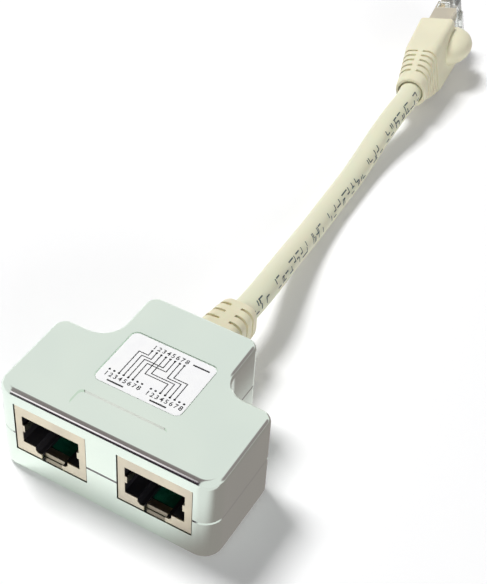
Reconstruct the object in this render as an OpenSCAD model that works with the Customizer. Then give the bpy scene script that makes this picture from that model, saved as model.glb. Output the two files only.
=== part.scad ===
// Network splitter: one short cable with a plug, two shielded jacks in a T-shaped housing.
// Millimetres. X runs across the jacks, Y from the jack face to the cable, Z up from the base.
// The origin is the middle of the housing's base.

/* [Housing] */
// Width across the two jacks
housing_w = 45; // [40:0.5:56]
// Depth from the jack face to the rear of the neck
housing_d = 34.4; // [34:0.2:44]
// Height
housing_h = 20; // [17:0.2:24]
// Depth of the wide part behind the jack face
wide_d = 20.5; // [20.3:0.1:24]
// Width of the neck
neck_w = 23.4; // [22.8:0.2:28]
// Wall thickness
wall = 1.6; // [1.2:0.1:1.8]
// Height of the parting line
split_z = 9.8; // [9:0.1:11]
// Rounding of the top and bottom edges
edge_r = 1.35; // [0.8:0.05:1.6]
// Depth of the chamfer along the parting line
seam_d = 0.25; // [0.1:0.05:0.4]
// Plan radius of the front corners
front_r = 3.7; // [2.5:0.1:5]
// Plan radius of the wide part's rear corners
rear_r = 2.4; // [2:0.1:3]
// Plan radius where the neck meets the wide part
fillet_r = 4.8; // [3:0.1:5.6]
// Plan radius of the neck's rear corners
neck_r = 2.3; // [2:0.1:3]

/* [Top pockets] */
// Width of the label pocket
label_pocket_w = 18.1; // [14:0.1:20]
// Length of the label pocket
label_pocket_l = 13.9; // [10:0.1:14]
// Distance of the label pocket's middle behind the jack face
label_pocket_y = 17.4; // [16.5:0.1:18]
// Corner radius of the label pocket
label_pocket_r = 1.4; // [0.6:0.1:3]
// Length of the blank panel's recess
panel_l = 4.1; // [2:0.1:5]
// Distance of the blank panel's middle behind the jack face
panel_y = 5.3; // [4.5:0.1:6]
// Depth of both pockets
pocket_d = 0.35; // [0.25:0.05:0.6]
// Thickness of the label
label_t = 0.2; // [0.1:0.05:0.25]
// Gap round the label
label_gap = 0.2; // [0.1:0.05:0.4]

/* [Jacks] */
// Share of the spare width that lies between the jacks
jack_spread = 0.373; // [0.2:0.001:0.6]
// Share of the spare height that lies under the board
jack_rise = 0.648; // [0.4:0.001:0.8]
// Width of a jack screen
shield_w = 14.8; // [14.6:0.1:16]
// Height of a jack screen
shield_h = 11.28; // [11.1:0.02:11.6]
// Depth of a jack screen
shield_d = 15.4; // [15:0.1:16]
// Sheet thickness of the screens
sheet = 0.25; // [0.2:0.05:0.3]
// Gap between a screen and its cut-out
jack_gap = 0.2; // [0.1:0.05:0.3]
// Distance of a screen's face behind the jack face
jack_inset = 0.15; // [0:0.05:0.3]
// Width of the plug opening
port_w = 12; // [11.8:0.1:12.2]
// Height of the plug opening above its shoulders
port_h = 6.65; // [6.6:0.05:6.8]
// Height of the shoulders above the screen's lower edge
port_z = 2.39; // [2.2:0.01:2.6]
// Width of the latch step
step_w = 6.85; // [6.4:0.05:7.2]
// Height of the latch step's floor above the screen's lower edge
step_z = 1.06; // [0.8:0.02:1.4]
// Width of the latch notch
notch_w = 4.4; // [4:0.1:5]
// Depth of the plug cavity
port_d = 12.2; // [11.8:0.1:12.4]
// Depth of the latch step and notch
step_d = 8; // [6:0.5:9]

/* [Contacts] */
// Number of poles
poles = 8; // [2:2:8]
// Distance between poles
pole_pitch = 1.02; // [1:0.01:1.04]
// Width of a spring wire
spring_w = 0.45; // [0.35:0.05:0.5]
// Thickness of a spring wire
spring_t = 0.3; // [0.2:0.05:0.35]
// Distance between the two rows of contact pins
pin_row = 1.27; // [1.1:0.01:1.3]

/* [Board] */
// Thickness of the circuit board
board_t = 1.6; // [1:0.1:2]
// Gap between the board's edge and the housing wall
board_gap = 0.3; // [0.2:0.1:0.5]
// Distance of the board's rear edge behind the jack face
board_l = 29.2; // [28:0.1:29.2]
// Diameter of the pegs that pin the halves together
peg_dia = 1.9; // [1.5:0.1:2]
// Outside diameter of the peg bosses
boss_dia = 3; // [2.8:0.1:3.2]
// Gap between a peg boss and the walls beside it
boss_gap = 0.4; // [0.4:0.1:0.5]
// Length of the pegs above the board or the parting line
peg_l = 5; // [3:0.5:6]

/* [Cable] */
// Outside diameter of the cable
cable_dia = 5.4; // [4.8:0.1:5.4]
// Diameter of one insulated wire
wire_dia = 0.7; // [0.6:0.05:0.75]
// Width of the strain relief at the housing
relief_w = 9.3; // [9.1:0.1:10.2]
// Width of the strain relief at its free end
relief_end_w = 7.8; // [7.7:0.1:8.4]
// How far the strain relief leans to the right at its free end
relief_lean = 0.4; // [0:0.1:0.5]
// Length of the strain relief outside the housing
relief_l = 13; // [11:0.5:16]
// Thickness of the strain relief's flange inside the housing
flange_t = 2; // [1.6:0.1:2.2]
// Width of the strain relief's flange inside the housing
flange_w = 12.4; // [12:0.1:13]
// Number of grooves on each side of the strain relief
relief_grooves = 5; // [2:1:6]
// Width of the web that is left between the grooves
web_w = 2.2; // [1.6:0.1:3]
// Depth of the grooves in both strain reliefs
groove_d = 0.5; // [0.4:0.1:0.6]
// Width of the screen clamp along the cable
clamp_w = 2.8; // [2:0.1:3]
// Thickness of the screen clamp
clamp_t = 0.4; // [0.3:0.1:0.5]

/* [Plug] */
// Thickness of the plug at the root of its latch
plug_t = 6.5; // [6.3:0.1:6.6]
// Height of the latch root above the rest of the plug body
latch_step = 0.9; // [0.7:0.1:1]
// Width of the plug body
plug_w = 11.7; // [11.6:0.1:11.8]
// Length of the plug body
plug_l = 21.5; // [20:0.5:23]
// Length of the plug's metal screen
plug_shield_l = 17; // [16:0.5:17]
// Length of the boot
boot_l = 25.8; // [24.8:0.2:28]
// Thickness of the boot
boot_t = 9; // [8.9:0.1:10]
// Width of the boot
boot_w = 13.2; // [13:0.1:14]
// Outside diameter of the boot's cable end
boot_ring_dia = 7.4; // [7.2:0.1:8]
// Number of grooves along the boot
boot_grooves = 5; // [2:1:6]
// Height of the latch hood above the boot's side
hood_h = 4.6; // [4:0.1:5]
// Width of the latch hood
hood_w = 8; // [6.8:0.1:9]
// Length of the latch hood
hood_l = 14; // [13:0.5:16]
// Wall thickness of the latch hood
hood_wall = 0.9; // [0.7:0.1:1]
// Roll of the lying plug about its own length
plug_roll = 12; // [0:1:15]

/* [Hidden] */
$fn = 48;
eps = 0.01;

left = -1;
right = 1;
face_y = -housing_d / 2;
rear_y = housing_d / 2;
wide_y = face_y + wide_d;
cable_r = cable_dia / 2;
cable_z = housing_h / 2;
fillet = min(fillet_r, (housing_w - neck_w) / 2 - rear_r - 0.2);

// The jacks stand on the board, and what width and height they leave free is shared out round them
spare_w = housing_w - 2 * (wall + shield_w + jack_gap) - boss_dia;
spare_h = housing_h - 2 * wall - board_t - shield_h;
jack_pitch = shield_w + 2 * jack_gap + boss_dia + jack_spread * spare_w;
under_board = jack_rise * spare_h;
jack_z = wall + under_board + board_t;
jack_rear_y = face_y + jack_inset + shield_d;
board_top = jack_z;
board_bottom = board_top - board_t;
board_rear_y = face_y + board_l;

// Route of the free cable from the end of the strain relief, X and Y and Z in steps chosen by hand
relief_end_y = rear_y + relief_l;
route_steps = [
    [0, 0, 0], [0.15, 5.3, 0], [-0.2, 10.8, -0.6], [-0.9, 15.8, -1.8], [-1.7, 21.3, -3.2],
    [-2.45, 26.8, -4.5], [-3.05, 31.8, -5.6], [-3.6, 37.3, -6.5], [-4.05, 42.8, -7],
    [-4.4, 47.8, -7.25], [-4.65, 53.3, -7.3], [-4.9, 58.8, -7.2], [-5.15, 63.8, -6.9],
    [-5.4, 68.8, -6.3], [-5.6, 74.3, -5.3], [-5.6, 79.3, -4.3], [-5.45, 84, -3.3],
    [-5.3, 88.6, -2.7], [-6.03, 93.6, -2.7]
];
route = [for (s = route_steps) s + [relief_lean, relief_end_y, cable_z]];
route_last = len(route) - 1;
route_end = route[route_last];
route_dir = route_end - route[route_last - 1];
cable_sides = 12;
cable_ring_step = 3;

// The plug lies on its side at the cable's end: its own X points to the latch, Y to the nose
plug_turn = atan2(-route_dir[0], route_dir[1]);
mouth_d = 1.2;
mouth_gap = 0.4;
plug_rear = boot_l - 10.2;
plug_front = plug_rear + plug_l;
plug_off = 0.8;
plug_base = plug_off - plug_t / 2;
plug_top = plug_off + plug_t / 2 - latch_step;
wire_end = 4.5;
wire_row_u = plug_off - 0.6;

// Points of an arc round c with radius r, from angle a0 to a1 in n steps
function arc(c, r, a0, a1, n) = [for (i = [0:n]) let (a = a0 + (a1 - a0) * i / n) c + r * [cos(a), sin(a)]];

// A list of points mirrored about X = 0 and reversed
function mirrored(pts) = [for (i = [len(pts) - 1:-1:0]) [-pts[i][0], pts[i][1]]];

// Right half of the housing's outline, from the front to the rear, drawn in by d
front_n = 8;
rear_n = 6;
neck_first = front_n + rear_n + 2;
function plan_half(d) = concat(
    arc([housing_w / 2 - front_r, face_y + front_r], front_r - d, -90, 0, front_n),
    arc([housing_w / 2 - rear_r, wide_y - rear_r], rear_r - d, 0, 90, rear_n),
    arc([neck_w / 2 + fillet, wide_y + fillet], fillet + d, -90, -180, 8),
    arc([neck_w / 2 - neck_r, rear_y - neck_r], neck_r - d, 0, 90, 6)
);
function plan(d) = concat(plan_half(d), mirrored(plan_half(d)));

// Outline of a rounded rectangle with half sizes hx and hy and corner radius r
function rounded(hx, hy, r, n = 6) = concat(
    arc([hx - r, -hy + r], r, -90, 0, n),
    arc([hx - r, hy - r], r, 0, 90, n),
    arc([-hx + r, hy - r], r, 90, 180, n),
    arc([-hx + r, -hy + r], r, 180, 270, n)
);

// Outline of a bent strip of thickness t along a path
function unit(v) = v / norm(v);
function side(p, i) =
    let (
        a = unit(p[max(i, 1)] - p[max(i, 1) - 1]),
        b = unit(p[min(i, len(p) - 2) + 1] - p[min(i, len(p) - 2)]),
        m = unit([-a[1] - b[1], a[0] + b[0]])
    ) m / (m * [-a[1], a[0]]);
function strip(p, t) = concat(
    [for (i = [0:len(p) - 1]) p[i] + side(p, i) * t / 2],
    [for (i = [len(p) - 1:-1:0]) p[i] - side(p, i) * t / 2]
);

// Faces over a ring of n points: one face, or for a T-shaped ring one over its wide part up to
// the first point of its neck, and then one between each two pairs of mirrored points
function cap(n, first) = first == 0 ? [[for (i = [0:n - 1]) i]] : concat(
    [concat([for (i = [0:first]) i], [for (i = [n - 1 - first:n - 1]) i])],
    [for (i = [first:n / 2 - 2]) [i, i + 1, n - 2 - i, n - 1 - i]]
);

// A closed skin over rings of equal length, each ring turning anticlockwise as seen from the last one
module loft(rings, first = 0) {
    n = len(rings[0]);
    last = len(rings) - 1;
    polyhedron(
        points = [for (ring = rings) each ring],
        faces = concat(
            cap(n, first),
            [for (k = [0:last - 1], i = [0:n - 1]) let (j = (i + 1) % n, b = k * n) [b + i, b + n + j, b + j]],
            [for (k = [0:last - 1], i = [0:n - 1]) let (j = (i + 1) % n, b = k * n) [b + i, b + n + i, b + n + j]],
            [for (face = cap(n, first)) [for (i = [len(face) - 1:-1:0]) last * n + face[i]]]
        )
    );
}

// Rings of a round tube of radius r along a path in space
function path_dir(p, i) = unit(p[min(i + 1, len(p) - 1)] - p[max(i - 1, 0)]);
function tube_rings(p, r, sides) = [
    for (i = [0:len(p) - 1])
        let (
            d = path_dir(p, i),
            across = unit(cross(d, abs(d[2]) < 0.9 ? [0, 0, 1] : [1, 0, 0])),
            up = cross(across, d)
        )
        [for (k = [0:sides - 1]) p[i] + r * (cos(360 * k / sides) * across - sin(360 * k / sides) * up)]
];

// A wire from a to b that leaves a along dir_a and meets b along dir_b
function wire_path(a, dir_a, b, dir_b, n = 6) = [
    for (i = [0:n])
        let (t = i / n, s = 1 - t)
        s * s * s * a + 3 * s * s * t * (a + dir_a) + 3 * s * t * t * (b - dir_b) + t * t * t * b
];

// Places of the wires in the round cable end, lower ones first, as [x, z]
core_r = cable_r - wire_dia;
function core_place(i) = let (a = 202.5 + 45 * (i % 4) + (i < 4 ? 0 : -180)) core_r * [(i < 4 ? 1 : -1) * cos(a), sin(a)];

// Heights within a jack, above the screen's lower edge
body_top = shield_h - sheet - 0.05;
port_top = port_z + port_h;
roof_t = 0.5;
insert_z = port_top + roof_t;
insert_w = (poles + 4) * pole_pitch;
body_side = shield_w / 2 - sheet - 0.05;
body_front = sheet + 0.1;
body_rear = shield_d - sheet - 0.1;
insert_front = 4.6;
insert_rear = body_rear - 0.3;
block_front = port_d + 0.4;
pin_front = block_front + 0.5;
pin_l = board_t + 0.28 * under_board;
tab_l = board_t + 0.4 * under_board;
groove_w = spring_w + 0.15;
spring_z = insert_z + 0.3;
band_front = 0.9;
band_rear = 2.9;
tab_w = 1.6;
tab_y = 8.5;
finger_w = 1.6;
finger_z = 5.05;

function pole_x(i) = (i - (poles - 1) / 2) * pole_pitch;
function pin_y(i) = pin_front + (i % 2) * pin_row;

// Cross-section of the plug opening with its latch step and notch, grown by g
module port_profile(g = 0) {
    chamfer = 0.5;
    translate([-port_w / 2 - g, port_z - g]) square([port_w + 2 * g, port_h + 2 * g]);
    polygon([
        [-step_w / 2 - g, port_z + eps], [-step_w / 2 - g, step_z + chamfer - g],
        [-step_w / 2 + chamfer, step_z - g], [step_w / 2 - chamfer, step_z - g],
        [step_w / 2 + g, step_z + chamfer - g], [step_w / 2 + g, port_z + eps]
    ]);
    translate([-notch_w / 2 - g, -1]) square([notch_w + 2 * g, port_z + 1]);
}

// Extrudes an outline drawn in X and Z from y0 to y1
module along_y(y0, y1) {
    translate([0, y1, 0]) rotate([90, 0, 0]) linear_extrude(y1 - y0) children();
}

// Puts a jack's own frame, with its screen's lower front edge at the origin, on one side
module at_jack(s) {
    translate([s * jack_pitch / 2, face_y + jack_inset, jack_z]) children();
}

// Peg places that run through the board, and those in the neck
front_peg = 6.2;
board_pegs = [
    [0, face_y + front_peg],
    for (s = [left, right])
        [s * (housing_w / 2 - wall - boss_dia / 2 - boss_gap), jack_rear_y + jack_gap + boss_dia / 2]
];
neck_pegs = [
    for (s = [left, right])
        [s * (neck_w / 2 - wall - boss_dia / 2 - boss_gap), rear_y - wall - boss_dia / 2 - boss_gap]
];
peg_clear = 0.15;

// One half of the housing as an open cup: inner wall, parting edge, outer wall and rounded edge
module half_cup(z1, inner_z) {
    steps = 6;
    dir = sign(z1 - split_z);
    edge_rings = [
        for (i = [0:steps]) let (a = 90 * i / steps) [z1 - dir * edge_r * (1 - sin(a)), edge_r * (1 - cos(a))]
    ];
    levels = concat(
        [[inner_z, wall], [split_z, wall], [split_z, seam_d], [split_z + dir * seam_d, 0]], edge_rings
    );
    ordered = dir > 0 ? levels : [for (i = [len(levels) - 1:-1:0]) levels[i]];
    loft([for (l = ordered) [for (p = plan(l[1])) [p[0], p[1], l[0]]]], neck_first);
}

module jack_holes() {
    for (s = [left, right])
        translate([s * jack_pitch / 2 - shield_w / 2 - jack_gap, face_y - 1, jack_z - jack_gap])
            cube([shield_w + 2 * jack_gap, wall + 2, shield_h + 2 * jack_gap]);
}

// Square hole in the rear wall that the strain relief passes
module relief_hole() {
    half = relief_w / 2 - 0.5;
    translate([0, 0, cable_z]) along_y(rear_y - wall - 1, rear_y + 1) polygon(rounded(half, half, 1.5));
}

module pockets() {
    floor_z = housing_h - pocket_d;
    translate([0, face_y + label_pocket_y, floor_z]) linear_extrude(pocket_d + 1)
        polygon(rounded(label_pocket_w / 2, label_pocket_l / 2, label_pocket_r));
    translate([0, face_y + panel_y, floor_z]) linear_extrude(pocket_d + 1)
        polygon(rounded(label_pocket_w / 2, panel_l / 2, panel_l / 4));
}

module upper_shell() color([0.85, 0.88, 0.85]) {
    roof_z = housing_h - wall;
    difference() {
        half_cup(housing_h, roof_z);
        jack_holes();
        relief_hole();
        pockets();
    }
    for (p = board_pegs) peg_boss(p, board_top, roof_z);
    for (p = neck_pegs) peg_boss(p, split_z, roof_z);
}

// A boss that hangs from the roof, drilled from below for a peg
module peg_boss(p, z0, z1) {
    translate([p[0], p[1], z0]) difference() {
        cylinder(d = boss_dia, h = z1 - z0 + eps);
        translate([0, 0, -1]) cylinder(d = peg_dia + 2 * peg_clear, h = peg_l + 1.5);
    }
}

// A post that stands on the floor, with its peg of length h on top
module peg_post(p, z1, h) {
    translate([p[0], p[1], wall - eps]) cylinder(d = boss_dia, h = z1 - wall + eps);
    translate([p[0], p[1], z1 - eps]) cylinder(d = peg_dia, h = h + eps);
}

module lower_shell() color([0.82, 0.86, 0.83]) {
    difference() {
        half_cup(0, wall);
        jack_holes();
        relief_hole();
    }
    for (p = board_pegs) peg_post(p, board_bottom, board_t + peg_l);
    for (p = neck_pegs) peg_post(p, split_z, peg_l);
}

module wiring_label() color("white") {
    translate([0, face_y + label_pocket_y, housing_h - pocket_d]) linear_extrude(label_t)
        polygon(rounded(
            label_pocket_w / 2 - label_gap, label_pocket_l / 2 - label_gap, label_pocket_r - label_gap
        ));
}

module circuit_board() color([0.05, 0.4, 0.25]) {
    hole_gap = 0.2;
    difference() {
        translate([0, 0, board_bottom]) linear_extrude(board_t) intersection() {
            polygon(plan(wall + board_gap));
            translate([-housing_w, face_y]) square([2 * housing_w, board_l]);
        }
        for (p = board_pegs) translate([p[0], p[1], board_bottom - 1])
            cylinder(d = peg_dia + 2 * peg_clear, h = board_t + 2);
        for (s = [left, right]) at_jack(s) {
            for (i = [0:poles - 1]) translate([pole_x(i), pin_y(i), -board_t - 1])
                cylinder(d = spring_w + 2 * hole_gap, h = board_t + 2);
            for (e = [left, right])
                translate([e * (shield_w / 2 - sheet / 2) - sheet / 2 - hole_gap, tab_y - hole_gap, -board_t - 1])
                    cube([sheet + 2 * hole_gap, tab_w + 2 * hole_gap, board_t + 2]);
        }
    }
}

// Formed screen: front with the plug opening, roof, sides, rear, a band below the notch and two tabs
module jack_shield() color([0.86, 0.83, 0.75]) {
    difference() {
        translate([-shield_w / 2, 0, 0]) cube([shield_w, shield_d, shield_h]);
        translate([-shield_w / 2 + sheet, sheet, -1])
            cube([shield_w - 2 * sheet, shield_d - 2 * sheet, shield_h - sheet + 1]);
        along_y(-1, sheet + 1) port_profile();
    }
    translate([-shield_w / 2, band_front, 0]) cube([shield_w, band_rear - band_front, sheet]);
    translate([-notch_w / 2 + 0.1, band_front, 0]) cube([notch_w - 0.2, sheet, step_z - 0.1]);
    for (e = [left, right]) {
        translate([e * (shield_w / 2 - sheet / 2) - sheet / 2, tab_y, -tab_l])
            cube([sheet, tab_w, tab_l + eps]);
        side_finger(e);
    }
}

// Spring finger folded in from the front edge of the plug opening
module side_finger(e) {
    edge = port_w / 2;
    translate([0, 0, finger_z]) linear_extrude(finger_w)
        polygon(strip([
            [e * (edge + 0.3), sheet / 2], [e * (edge - 0.35), sheet / 2],
            [e * (edge - 0.5), 1.6], [e * (edge - 0.2), 5]
        ], sheet * 0.8));
}

module jack_body() color([0.09, 0.09, 0.1]) {
    difference() {
        translate([-body_side, body_front, 0]) cube([2 * body_side, body_rear - body_front, body_top]);
        along_y(-1, port_d) translate([-port_w / 2 - 0.1, port_z - 0.1]) square([port_w + 0.2, port_h + 0.1]);
        along_y(-1, step_d) port_profile(0.1);
        translate([-shield_w / 2, band_front - 0.1, -1])
            cube([shield_w, band_rear - band_front + 0.2, 1 + sheet + 0.05]);
        contact_room();
        // Comb slots that guide the springs into the cavity
        for (i = [0:poles - 1]) translate([pole_x(i) - groove_w / 2, insert_front - 2, port_top - eps])
            cube([groove_w, block_front - insert_front + 2, body_top - port_top + 1]);
    }
}

// Room for the contact insert, open to the top and the rear
module contact_room() {
    side_gap = 0.05;
    half = insert_w / 2 + side_gap;
    translate([-half, insert_front - side_gap, insert_z]) cube([2 * half, shield_d, shield_h]);
    translate([-half, block_front, -1]) cube([2 * half, shield_d, shield_h + 2]);
}

// Insert with a tongue over the cavity and a rear block, grooved for the springs
insert_gap = 0.05;
module contact_insert() color([0.1, 0.32, 0.26]) {
    difference() {
        translate([-insert_w / 2, insert_front, insert_z + insert_gap])
            cube([insert_w, insert_rear - insert_front, body_top - insert_z - insert_gap]);
        for (i = [0:poles - 1]) translate([pole_x(i) - groove_w / 2, 0, insert_z]) cube([groove_w, pin_y(i) + 0.25, 0.5]);
    }
}

// Block below the insert's rear end that guides the risers of the spring wires down to the board
module pin_block() color([0.1, 0.32, 0.26]) {
    difference() {
        translate([-insert_w / 2, block_front + insert_gap, 0])
            cube([insert_w, insert_rear - block_front - insert_gap, insert_z]);
        for (i = [0:poles - 1])
            translate([pole_x(i) - groove_w / 2, pin_y(i) - 0.25, -1]) cube([groove_w, 0.5, insert_z + 2]);
    }
}

// Spring wires: pin, riser, run below the tongue and the bent spring in the cavity
module jack_contacts() color([0.85, 0.7, 0.35]) {
    for (i = [0:poles - 1]) translate([pole_x(i) - spring_w / 2, 0, 0])
        rotate([90, 0, 90]) linear_extrude(spring_w) polygon(strip([
            [pin_y(i), -pin_l], [pin_y(i), spring_z], [insert_front - 0.5, spring_z],
            [insert_front - 1, spring_z - 0.35], [insert_front - 1, spring_z - 0.9],
            [insert_front - 0.4, port_top - 0.55], [port_d - 1.4, port_top - 1.75], [port_d - 0.8, port_top - 1.75]
        ], spring_t));
}

// Jacket end held by the strain relief, with the wires stripped out of it
inner_end_y = board_rear_y - clamp_w - 1.4;
inner_sides = 24;
inner_path = concat(
    [[0, inner_end_y, cable_z], [0, rear_y - wall, cable_z]],
    [for (t = [0.25, 0.5, 0.75]) [relief_lean * t * t, rear_y + relief_l * t, cable_z]],
    [route[0] - unit(route[1] - route[0]), route[0]]
);
module cable_inner_end() color([0.86, 0.86, 0.74]) loft(tube_rings(inner_path, cable_r, inner_sides));

// Wires from the jacket end down to two rows of pads on the board
wire_gap = 0.1;
pad_pitch = 3.2;
pad_row_gap = 3.4;
pad_rows = [inner_end_y - pad_pitch, inner_end_y - pad_pitch - pad_row_gap];
module cable_wires() color([0.9, 0.6, 0.2]) {
    for (i = [0:7]) {
        c = core_place(i);
        start = [c[0], inner_end_y - wire_gap, cable_z + c[1]];
        end = [(i % 4 - 1.5) * pad_pitch, pad_rows[i < 4 ? 0 : 1], board_top + wire_gap];
        reach = (start[1] - end[1]) * 0.8;
        loft(tube_rings(wire_path(start, [0, -reach, 0], end, [0, 0, -2.4]), wire_dia / 2, 8));
    }
}

// Strap over the jacket end with its feet on the board
module screen_clamp() color([0.8, 0.8, 0.78]) {
    half = cable_r;
    foot = 1.8;
    along_y(board_rear_y - clamp_w - 0.2, board_rear_y - 0.2) difference() {
        union() {
            translate([0, cable_z]) circle(r = half + clamp_t);
            translate([-half - clamp_t, board_top]) square([2 * (half + clamp_t), cable_z - board_top]);
            translate([-half - clamp_t - foot, board_top]) square([2 * (half + clamp_t + foot), clamp_t]);
        }
        translate([0, cable_z]) circle(r = half);
        translate([-half, board_top - 1]) square([2 * half, cable_z - board_top + 1]);
    }
}

// Tapered relief outside the rear wall, from root to end, drawn in by d
module relief_taper(d) {
    root = relief_w / 2 - d;
    tip = relief_end_w / 2 - d;
    round_l = 1;
    y0 = rear_y;
    y1 = relief_end_y;
    mid = (root + tip) / 2;
    sections = [
        [y0, root, 0], [y0 + relief_l / 2, mid, relief_lean / 4], [y1 - round_l, tip, relief_lean * 0.85],
        [y1 - round_l * 0.3, tip - round_l * 0.2, relief_lean * 0.96], [y1, tip - round_l * 0.6, relief_lean]
    ];
    loft([for (s = sections) [for (p = rounded(s[1], s[1], min(2.2, s[1] - 0.1))) [p[0] + s[2], s[0], cable_z - p[1]]]]);
}

module strain_relief() color([0.91, 0.84, 0.71]) {
    inner_y = rear_y - wall;
    half = relief_w / 2 - 0.6;
    pitch = relief_l / (relief_grooves + 0.6);
    width = pitch * 0.27;
    difference() {
        union() {
            relief_taper(0);
            translate([0, 0, cable_z]) along_y(inner_y - flange_t, rear_y + eps) polygon(rounded(half, half, 1.4));
            translate([0, 0, cable_z]) along_y(inner_y - flange_t, inner_y - 0.05)
                polygon(rounded(flange_w / 2, flange_w / 2, 1));
        }
        difference() {
            for (i = [1:relief_grooves])
                translate([-relief_w, rear_y + pitch * (i - 0.35) - width / 2, 0])
                    cube([2 * relief_w, width, housing_h]);
            relief_taper(groove_d);
            translate([relief_lean - web_w / 2, 0, 0]) cube([web_w, 2 * housing_d, housing_h]);
        }
        loft(tube_rings(concat(inner_path, [2 * route[0] - inner_path[len(inner_path) - 2]]), cable_r, inner_sides));
    }
}

module cable() color([0.87, 0.88, 0.76]) {
    rings = tube_rings(route, cable_r, cable_sides);
    loft([for (i = [0:cable_ring_step:route_last]) rings[i]]);
}

// Puts the plug's own frame at the mouth of its boot
module at_plug() {
    translate(route_end) rotate([0, 0, plug_turn]) rotate([0, -plug_roll, 0]) translate([0, -mouth_d, 0]) children();
}

// Tapered body of the boot, drawn in by d
module boot_taper(d) {
    ring = boot_ring_dia / 2;
    half_t = boot_t / 2;
    half_w = boot_w / 2;
    full = 12;
    sections = [
        [0, ring - 0.35, ring, ring - 0.5], [0.4, ring, ring + 0.35, ring - 0.2],
        [full * 0.25, ring + 0.05, ring + 0.9, ring - 0.4], [full * 0.5, ring + 0.2, half_w - 1.1, 2.9],
        [full * 0.75, half_t - 0.45, half_w - 0.45, 2.4], [full, half_t - 0.2, half_w - 0.2, 1.7],
        [boot_l - 0.4, half_t, half_w, 1.2], [boot_l, half_t - 0.3, half_w - 0.3, 0.9]
    ];
    loft([for (s = sections) [for (p = rounded(s[1] - d, s[2] - d, max(s[3] - d, 0.4))) [p[0], s[0], -p[1]]]]);
}

// Domed latch hood over the boot's side, drawn in by d
hood_mid = boot_l - 2.3;
module hood_dome(d) {
    n = 12;
    steps = 12;
    base = boot_t / 2 - 1.2;
    half_l = hood_l / 2 - d;
    loft([
        for (k = [0:steps])
            let (t = cos(180 * k / steps), s = max(sqrt(1 - t * t), 0.05))
            concat(
                [for (i = [0:n]) let (a = 180 * i / n)
                    [base + s * (hood_h + 1.2 - d) * sin(a), hood_mid - half_l * t, (hood_w / 2 - d) * s * cos(a)]]
            )
    ]);
}

module plug_boot() color([0.9, 0.86, 0.77]) {
    first = 3;
    pitch = 1.63;
    width = 0.6;
    web = 1.3;
    web_off = 0.2;
    slot_w = 4.4;
    fit = 0.05;
    room_t = 5.8;
    room_w = poles * pole_pitch + 1;
    at_plug() difference() {
        union() {
            boot_taper(0);
            hood_dome(0);
        }
        // Hollow of the hood, open to the nose
        difference() {
            union() {
                hood_dome(hood_wall);
                translate([boot_t / 2 - 1.2, hood_mid, -slot_w / 2]) cube([hood_h * 0.75, hood_l, slot_w]);
            }
            translate([-boot_t, -1, -boot_w]) cube([boot_t * 1.5, boot_l - 6, 2 * boot_w]);
        }
        // Slot that joins that hollow to the plug's socket
        translate([plug_top - 0.2, boot_l - 6, -slot_w / 2]) cube([boot_t / 2 - plug_top, hood_l, slot_w]);
        // Grooves between the two webs
        difference() {
            for (i = [0:boot_grooves - 1])
                translate([-boot_t, first + pitch * i - width / 2, -boot_w]) cube([2 * boot_t, width, 2 * boot_w]);
            boot_taper(groove_d);
            translate([web_off - web / 2, 0, -boot_w]) cube([web, boot_l, 2 * boot_w]);
        }
        rotate([-90, 0, 0]) {
            translate([0, 0, -1]) cylinder(r = cable_r + mouth_gap, h = mouth_d + 1);
            cylinder(r = cable_r, h = plug_rear - wire_end);
        }
        // Room for the wires, and the socket that holds the plug's rear end
        translate([-room_t / 2, plug_rear - wire_end - eps, -room_w / 2]) cube([room_t, wire_end + 1, room_w]);
        translate([plug_base - fit, plug_rear, -plug_w / 2 - fit])
            cube([plug_top - plug_base + 2 * fit, plug_l, plug_w + 2 * fit]);
    }
}

// Held stretch of the cable inside the boot
module cable_plug_end() color([0.86, 0.86, 0.74]) {
    at_plug() translate([0, mouth_d, 0]) rotate([-90, 0, 0])
        cylinder(r = cable_r, h = plug_rear - wire_end - mouth_d);
}

blade_front = plug_front - 0.6;
blade_rear = plug_front - 5;
channel_end = plug_front - 3;
blade_t = 0.3;
latch_t = 0.9;
latch_w = 3.2;
latch_root_w = 6.2;
latch_root = [
    [plug_top - 0.2, plug_front - 0.8], [plug_top + 0.3, plug_front - 1.4], [plug_top + 0.5, plug_front - 3],
    [plug_top + 1.2, plug_front - 6]
];
latch_tip = [plug_top + 2.3, boot_l - 0.5];
shield_end = plug_rear + plug_shield_l;

module plug_body() color([0.9, 0.91, 0.88, 0.6]) {
    body_t = plug_top - plug_base;
    at_plug() {
        difference() {
            union() {
                translate([plug_base, shield_end, -plug_w / 2]) cube([body_t, plug_front - shield_end, plug_w]);
                translate([plug_base + sheet, plug_rear, -plug_w / 2 + sheet])
                    cube([body_t - 2 * sheet, plug_l - 1, plug_w - 2 * sheet]);
            }
            translate([wire_row_u - wire_dia / 2 - 0.03, plug_rear - 1, -poles * pole_pitch / 2 - 0.1])
                cube([wire_dia + 0.06, channel_end - plug_rear + 1, poles * pole_pitch + 0.2]);
            for (i = [0:poles - 1])
                translate([plug_base - 1, blade_rear - 0.1, pole_x(i) - blade_t / 2 - 0.05])
                    cube([wire_row_u - plug_base + 1, plug_front - blade_rear + 1, blade_t + 0.1]);
            // Step along the contact edge of the nose
            translate([plug_base - eps, plug_front - 1.2, -plug_w]) cube([0.6, 2, 2 * plug_w]);
        }
        // Latch with its wide root at the nose and its free tail at the hood
        translate([0, 0, -latch_root_w / 2]) linear_extrude(latch_root_w) polygon(strip(latch_root, latch_t));
        translate([0, 0, -latch_w / 2]) linear_extrude(latch_w)
            polygon(strip([latch_root[2], latch_root[3], latch_tip + [-0.5, 2.5], latch_tip], latch_t));
    }
}

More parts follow.
